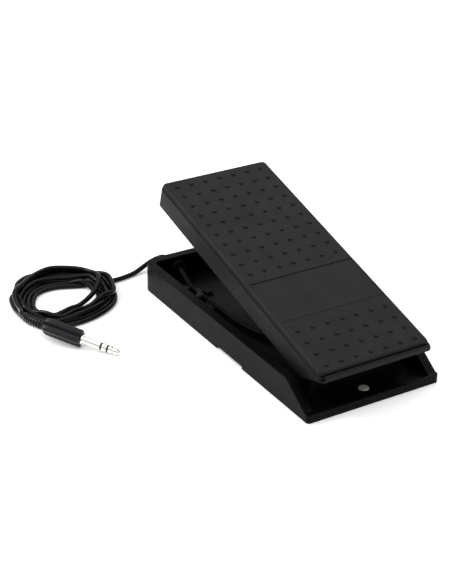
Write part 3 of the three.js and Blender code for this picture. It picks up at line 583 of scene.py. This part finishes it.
# The gland: a flanged grommet through the toe wall whose nose tapers down onto the cord
GLAND_X, GLAND_Z, TRAY_TOE = -30.0, 14.0, 125.5
gland_profile = rounded_profile([
    (2.15, -11.2), (6.4, -11.2), (6.4, -7.8), (4.6, -7.8), (4.6, 0.3), (6.6, 0.3), (6.6, 2.1),
    (4.3, 2.6), (4.1, 4.2), (3.6, 4.2), (3.6, 5.0), (3.9, 5.0), (3.75, 6.7), (3.2, 6.7),
    (3.2, 7.5), (3.5, 7.5), (3.3, 9.2), (2.9, 9.2), (2.9, 10.0), (3.1, 10.0), (3.0, 11.3),
    (2.15, 11.3),
], 0.3)
gland_axis = np.array([0.0, 1.0, 0.0])
gland_across = np.array([1.0, 0.0, 0.0])
gland = turned_piece(
    "cord_gland_turned", gland_profile, np.array([GLAND_X, TRAY_TOE, GLAND_Z]),
    gland_axis, gland_across,
)
rubber_black = moulding_material("gland_rubber", (0.003, 0.003, 0.003), 0.6, specular=0.1)
gland.data.materials.append(rubber_black)
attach(gland, "base")
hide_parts("cord_gland")


# ------------------------------------------------------------------ tray
# The base is one black ABS moulding: thick hollow walls round a well, a low lip at the heel, and
# a plinth, bosses and posts that stand on the floor of the well. Its edges are softened in shading.

def dress_node(name, material, soft_edge=None):
    """Gives a CAD node its finish, and rounds its hard edges over by that radius in millimetres."""
    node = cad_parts[name]
    node.data.materials.clear()
    node.data.materials.append(material)
    if soft_edge:
        weld = node.modifiers.new("closed_seams", "WELD")
        weld.merge_threshold = 2e-6
        bevel = node.modifiers.new("rounded_edges", "BEVEL")
        bevel.width = soft_edge * MM
        bevel.segments = 3
        bevel.limit_method = "ANGLE"
        bevel.angle_limit = math.radians(40)
        bevel.use_clamp_overlap = True
        bevel.miter_outer = "MITER_ARC"


tray_black = moulding_material(
    "tray_moulding", (0.0016, 0.0016, 0.0018), 0.38, specular=0.06, edge=0.9
)
dress_node("base_tray", tray_black)


# ------------------------------------------------------------------ bottom plate and its screws
# A pressed steel sheet in black powder coat closes the tray from below. Four zinc-plated
# self-tapping screws hold it, and a flat-headed rivet ties it to the heel end of the tray floor.

coat_black = moulding_material("powder_coat", (0.003, 0.003, 0.003), 0.5, specular=0.1)
dress_node("bottom_plate", coat_black)


def plated_material(name, colour, roughness, streak_scale=300.0):
    """Plated steel: bright metal with faint streaks and a slight bloom of duller zinc."""
    material, shader = new_material(name, colour, roughness, metallic=1.0)
    place = add_node(material, "ShaderNodeTexCoord")
    stretch = add_node(material, "ShaderNodeMapping")
    stretch.inputs["Scale"].default_value = (1.0, 1.0, 6.0)
    link(material, place.outputs["Object"], stretch.inputs["Vector"])
    streaks = add_node(material, "ShaderNodeTexNoise")
    streaks.inputs["Scale"].default_value = streak_scale
    streaks.inputs["Detail"].default_value = 4.0
    link(material, stretch.outputs["Vector"], streaks.inputs["Vector"])
    bloom = add_node(material, "ShaderNodeMapRange")
    bloom.inputs["To Min"].default_value = roughness - 0.08
    bloom.inputs["To Max"].default_value = roughness + 0.14
    link(material, streaks.outputs["Fac"], bloom.inputs["Value"])
    link(material, bloom.outputs["Result"], shader.inputs["Roughness"])
    tint = add_node(material, "ShaderNodeMix", data_type="RGBA")
    tint.inputs["A"].default_value = (*(c * 0.82 for c in colour), 1.0)
    tint.inputs["B"].default_value = (*colour, 1.0)
    link(material, streaks.outputs["Fac"], tint.inputs["Factor"])
    link(material, tint.outputs["Result"], shader.inputs["Base Color"])
    return material


zinc = plated_material("zinc_plate", (0.52, 0.52, 0.50), 0.32)
WORLD_UP = np.array([0.0, 0.0, 1.0])
WORLD_ACROSS = np.array([1.0, 0.0, 0.0])


def turned_on_node(name, profile, material, body="base", sides=48, radius=0.2):
    """A turned piece on the middle of a CAD node's box, standing up from its lowest point."""
    low, high = (np.array(corner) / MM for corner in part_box(name))
    origin = np.array([(low[0] + high[0]) / 2, (low[1] + high[1]) / 2, low[2]])
    piece = turned_piece(
        f"{name}_turned", rounded_profile(profile, radius), origin, WORLD_UP, WORLD_ACROSS, sides
    )
    piece.data.materials.append(material)
    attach(piece, body)
    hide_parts(name)
    return piece


rivet_tail, rivet_top = (corner[2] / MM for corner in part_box("floor_rivet"))
RIVET_HEAD, RIVET_SHANK = 4.3, 1.9
rivet_metal, _ = new_material("rivet_aluminium", (0.40, 0.40, 0.385), 0.7, metallic=0.35)
head_under = rivet_top - rivet_tail - 0.75
turned_on_node("floor_rivet", [
    (0.02, 0), (2.6, 0), (3.1, 0.8), (RIVET_SHANK, 0.8), (RIVET_SHANK, head_under),
    (RIVET_HEAD, head_under), (RIVET_HEAD, head_under + 0.4), (3.2, head_under + 0.72),
    (0.02, head_under + 0.75),
], rivet_metal, radius=0.3)

# Rubber feet, moulded with a rounded rim and a shallow cup underneath that grips the floor
foot_top = (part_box("rubber_foot_1")[1][2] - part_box("rubber_foot_1")[0][2]) / MM
foot_rubber = moulding_material("foot_rubber", (0.010, 0.010, 0.010), 0.8, specular=0.25)
for number in (1, 2, 3, 4):
    turned_on_node(f"rubber_foot_{number}", [
        (0.02, 0.5), (5.0, 0.5), (5.6, 0.0), (7.6, 0.0), (8.0, 0.6), (7.8, foot_top),
        (0.02, foot_top),
    ], foot_rubber, radius=0.4)

for number in (1, 2, 3, 4):
    dress_node(f"bottom_screw_{number}", zinc)

# Mushroom bumpers: a domed rubber head that the closed treadle lands on
bumper_height = (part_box("toe_bumper_left")[1][2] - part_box("toe_bumper_left")[0][2]) / MM
for side in ("left", "right"):
    turned_on_node(f"toe_bumper_{side}", [
        (0.02, 0), (1.2, 0.2), (1.2, bumper_height - 3.4), (3.4, bumper_height - 3.4),
        (3.4, bumper_height - 1.5), (2.4, bumper_height - 0.35), (0.02, bumper_height),
    ], foot_rubber, radius=0.8)


# ------------------------------------------------------------------ pivot
# A bent steel bracket screwed to the plinth carries a zinc-plated axle in its two ears. Felt and
# spring washers outside the ears give the drag that holds the treadle where the foot leaves it.

dress_node("pivot_bracket", coat_black, 0.35)
felt_grey = moulding_material("pressed_felt", (0.05, 0.046, 0.042), 0.95, 0.0004, 0.1)
for name in ("pivot_axle", "axle_clip_left", "axle_clip_right", "bracket_screw_left",
             "bracket_screw_right", "spring_washer_left", "spring_washer_right"):
    dress_node(name, zinc)
for name in ("friction_washer_left", "friction_washer_right"):
    dress_node(name, felt_grey)


# ------------------------------------------------------------------ treadle frame
# The body of the treadle is a ribbed ABS tray turned upside down: deep skirts all round, a
# stepped neck under the tread, and at the heel a lip with a groove in front of it.

frame_black = moulding_material(
    "treadle_moulding", (0.0034, 0.0035, 0.0038), 0.42, specular=0.10, edge=1.2
)
dress_node("treadle_frame", frame_black)
for number in (1, 2, 3, 4, 5, 6):
    dress_node(f"tread_screw_{number}", zinc)


# ------------------------------------------------------------------ tread plate
# The tread is a separate matt moulding that snaps and screws onto the frame. It has two fields
# of small raised studs for grip, with a plain recessed panel between them.

PIVOT = np.array([0.0, -92.75, 32.76])
REST_TILT = math.radians(14.53)
TREAD_TOP, TREAD_BOTTOM = 13.0, 10.6
TREAD_HALF, TREAD_HEEL, TREAD_TOE = 49.5, -28.1, 212.8
TREAD_ROLL = 2.3              # the edge is rolled over by a quarter round of this radius
TREAD_CORNER = 4.0
PANEL_HALF, PANEL_HEEL, PANEL_TOE, PANEL_DEPTH = 47.0, 30.5, 76.2, 0.35
SCRIBE_WIDTH, SCRIBE_DEPTH = 0.5, 0.55
STUD_COLUMNS, STUD_PITCH_X, STUD_PITCH_Y = 7, 13.33, 12.9
STUD_ROWS_TOE, STUD_FIRST_TOE = 10, 203.8
STUD_ROWS_HEEL, STUD_FIRST_HEEL = 4, 18.4


def onto_treadle(points):
    """Points in the treadle's own frame, turned by the rest tilt and set on the axle."""
    points = np.asarray(points, float)
    x, y, z = points[..., 0], points[..., 1], points[..., 2]
    return PIVOT + np.stack([
        x,
        y * math.cos(REST_TILT) - z * math.sin(REST_TILT),
        y * math.sin(REST_TILT) + z * math.cos(REST_TILT),
    ], axis=-1)


def edge_drop(inset):
    """How far a quarter-round edge lies below the top, at an inset from the side."""
    short = np.clip(TREAD_ROLL - inset, 0, TREAD_ROLL)
    return TREAD_ROLL - np.sqrt(np.maximum(TREAD_ROLL**2 - short**2, 0))


def tread_lines(low, high, marks):
    """Grid lines from low to high: close together on the rolled edges and corners, and in a
    band at each mark."""
    roll = TREAD_CORNER * (1 - np.cos(np.linspace(0, math.pi / 2, 11)))
    band = np.array([mark + side for mark in marks for side in (-0.5, -0.25, 0.0, 0.25, 0.5)])
    middle = np.linspace(low + 6, high - 6, 16)
    clear = np.abs(middle[:, None] - band[None]).min(1) > 1
    lines = np.concatenate([low + roll, middle[clear], band, high - roll])
    return np.unique(np.round(lines, 4))


def tread_surface():
    """Top of the tread as a height over x and y: flat, rolled down at its edges and round its
    corners, sunk in the panel with a scribed line round it, and joined to a flat underside."""
    xs = tread_lines(-TREAD_HALF, TREAD_HALF, (-PANEL_HALF, PANEL_HALF))
    ys = tread_lines(TREAD_HEEL, TREAD_TOE, (PANEL_HEEL, PANEL_TOE))
    x, y = np.meshgrid(xs, ys)
    middle_y, half_y = (TREAD_HEEL + TREAD_TOE) / 2, (TREAD_TOE - TREAD_HEEL) / 2
    into_x = np.clip(np.abs(x) - (TREAD_HALF - TREAD_CORNER), 0, None) / TREAD_CORNER
    into_y = np.clip(np.abs(y - middle_y) - (half_y - TREAD_CORNER), 0, None) / TREAD_CORNER
    round_x = into_x * np.sqrt(1 - into_y**2 / 2)
    round_y = into_y * np.sqrt(1 - into_x**2 / 2)
    inset = TREAD_CORNER * (1 - np.hypot(round_x, round_y))
    height = TREAD_TOP - edge_drop(inset)
    into_panel = np.minimum(PANEL_HALF - np.abs(x), np.minimum(y - PANEL_HEEL, PANEL_TOE - y))
    height = height - PANEL_DEPTH * np.clip(into_panel / SCRIBE_WIDTH + 0.5, 0, 1)
    height = height - SCRIBE_DEPTH * np.clip(1 - np.abs(into_panel) / SCRIBE_WIDTH, 0, 1)
    top = np.stack([
        x + np.sign(x) * (round_x - into_x) * TREAD_CORNER,
        y + np.sign(y - middle_y) * (round_y - into_y) * TREAD_CORNER,
        height,
    ], axis=-1)
    rows, columns = x.shape
    index = np.arange(rows * columns).reshape(rows, columns)
    faces = np.stack(
        [index[:-1, :-1], index[:-1, 1:], index[1:, 1:], index[1:, :-1]], axis=-1
    ).reshape(-1, 4).tolist()
    loop = np.concatenate([index[0, :-1], index[:-1, -1], index[-1, :0:-1], index[:0:-1, 0]])
    points = top.reshape(-1, 3)
    under = points[loop].copy()
    under[:, 2] = TREAD_BOTTOM
    below = len(points) + np.arange(len(loop))
    faces += np.stack(
        [loop, below, np.roll(below, -1), np.roll(loop, -1)], axis=-1
    ).tolist()
    faces.append(below[::-1].tolist())
    return np.vstack([points, under]), faces


# Radius and height above the tread, from the root to the crown
STUD_PROFILE = np.array([
    (1.95, -0.35), (1.9, 0.0), (1.84, 0.45), (1.6, 0.8), (1.1, 1.0), (0.5, 1.08),
])


def studs(first_index):
    """Every stud as rings of the same turned profile, in one array, closed top and bottom."""
    across = (np.arange(STUD_COLUMNS) - (STUD_COLUMNS - 1) / 2) * STUD_PITCH_X
    along = np.concatenate([
        STUD_FIRST_TOE - STUD_PITCH_Y * np.arange(STUD_ROWS_TOE),
        STUD_FIRST_HEEL - STUD_PITCH_Y * np.arange(STUD_ROWS_HEEL),
    ])
    x, y = (a.ravel() for a in np.meshgrid(across, along))
    turn = np.linspace(0, 2 * math.pi, 12, endpoint=False)
    ring_x = STUD_PROFILE[:, None, 0] * np.cos(turn)
    ring_y = STUD_PROFILE[:, None, 0] * np.sin(turn)
    ring_z = np.broadcast_to(STUD_PROFILE[:, None, 1], ring_x.shape)
    grid = np.stack([
        x[:, None, None] + ring_x, y[:, None, None] + ring_y,
        TREAD_TOP + np.broadcast_to(ring_z, (len(x), *ring_x.shape)),
    ], axis=-1)
    count, rows, columns = grid.shape[:3]
    index = first_index + np.arange(count * rows * columns).reshape(count, rows, columns)
    turned_on = np.roll(index, -1, axis=2)
    sides = np.stack(
        [index[:, :-1], turned_on[:, :-1], turned_on[:, 1:], index[:, 1:]], axis=-1
    ).reshape(-1, 4).tolist()
    caps = index[:, -1].tolist() + index[:, 0, ::-1].tolist()
    return grid.reshape(-1, 3), sides + caps


tread_points, tread_faces = tread_surface()
stud_points, stud_faces = studs(len(tread_points))
tread_mesh = bpy.data.meshes.new("tread_moulded")
tread_mesh.from_pydata(
    (onto_treadle(np.vstack([tread_points, stud_points])) * MM).tolist(), [],
    tread_faces + stud_faces,
)
tread_black = moulding_material(
    "tread_moulding", (0.0085, 0.0086, 0.0092), 0.46, grain_depth=0.0002, specular=0.13
)
tread = new_object("tread_moulded", outward(tread_mesh))
tread.data.materials.append(tread_black)
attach(tread, "treadle")
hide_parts("tread_plate")


# ------------------------------------------------------------------ gears
# A toothed sector in natural nylon hangs under the treadle and drives a twelve-tooth pinion on
# the potentiometer's shaft. The bushes in the treadle's cheeks are the same nylon.

nylon = moulding_material("natural_nylon", (0.62, 0.60, 0.52), 0.42, 0.00008, 0.45)
for name in ("sector_gear", "pinion", "pivot_bush_left", "pivot_bush_right"):
    dress_node(name, nylon)
for name in ("sector_screw_1", "sector_screw_2"):
    dress_node(name, zinc)


# ------------------------------------------------------------------ potentiometer
# A panel potentiometer in a plated can stands in a bent bracket, with its nut and washer on the
# gear side and three solder lugs on a phenolic comb above the can.

phenolic = moulding_material("phenolic_board", (0.16, 0.08, 0.03), 0.5, specular=0.3)
for name in ("pot_bracket", "pot_body", "pot_washer", "pot_nut", "pot_shaft", "pot_screw_1",
             "pot_screw_2"):
    dress_node(name, zinc)
dress_node("pot_terminals", phenolic)


# ------------------------------------------------------------------ inner lead
# Inside the tray the same lead, with a duller jacket, runs from the gland under a clip to the
# potentiometer.
# The clip and its screw wear the black coat in place of zinc plate: painted shade, as dark as the
# shade inside the tray.

inner_points = np.array([
    [-30, 125.2, 14], [-30, 119, 14], [-30, 113, 14], [-30.6, 103, 10.6], [-31.4, 92, 7.9],
    [-31.4, 60, 7.9], [-30, 20, 7.7], [-22, -8, 7.7], [-10, -22, 9], [-4.5, -30.7, 17],
    [-4.5, -33.7, 26],
])
inner_lead = round_cord("inner_lead_round", through(inner_points, 10), CORD_RADIUS - 0.02)
inner_black = jacket_material("inner_lead_vinyl", (0.002, 0.002, 0.002), 0.6, specular=0.08)
inner_lead.data.materials.append(inner_black)
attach(inner_lead, "base")
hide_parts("inner_lead")
# The clip and its screw take the black coat, not zinc: painted shade for the dark inside of the
# tray.
for name in ("lead_clip", "clip_screw"):
    dress_node(name, coat_black)
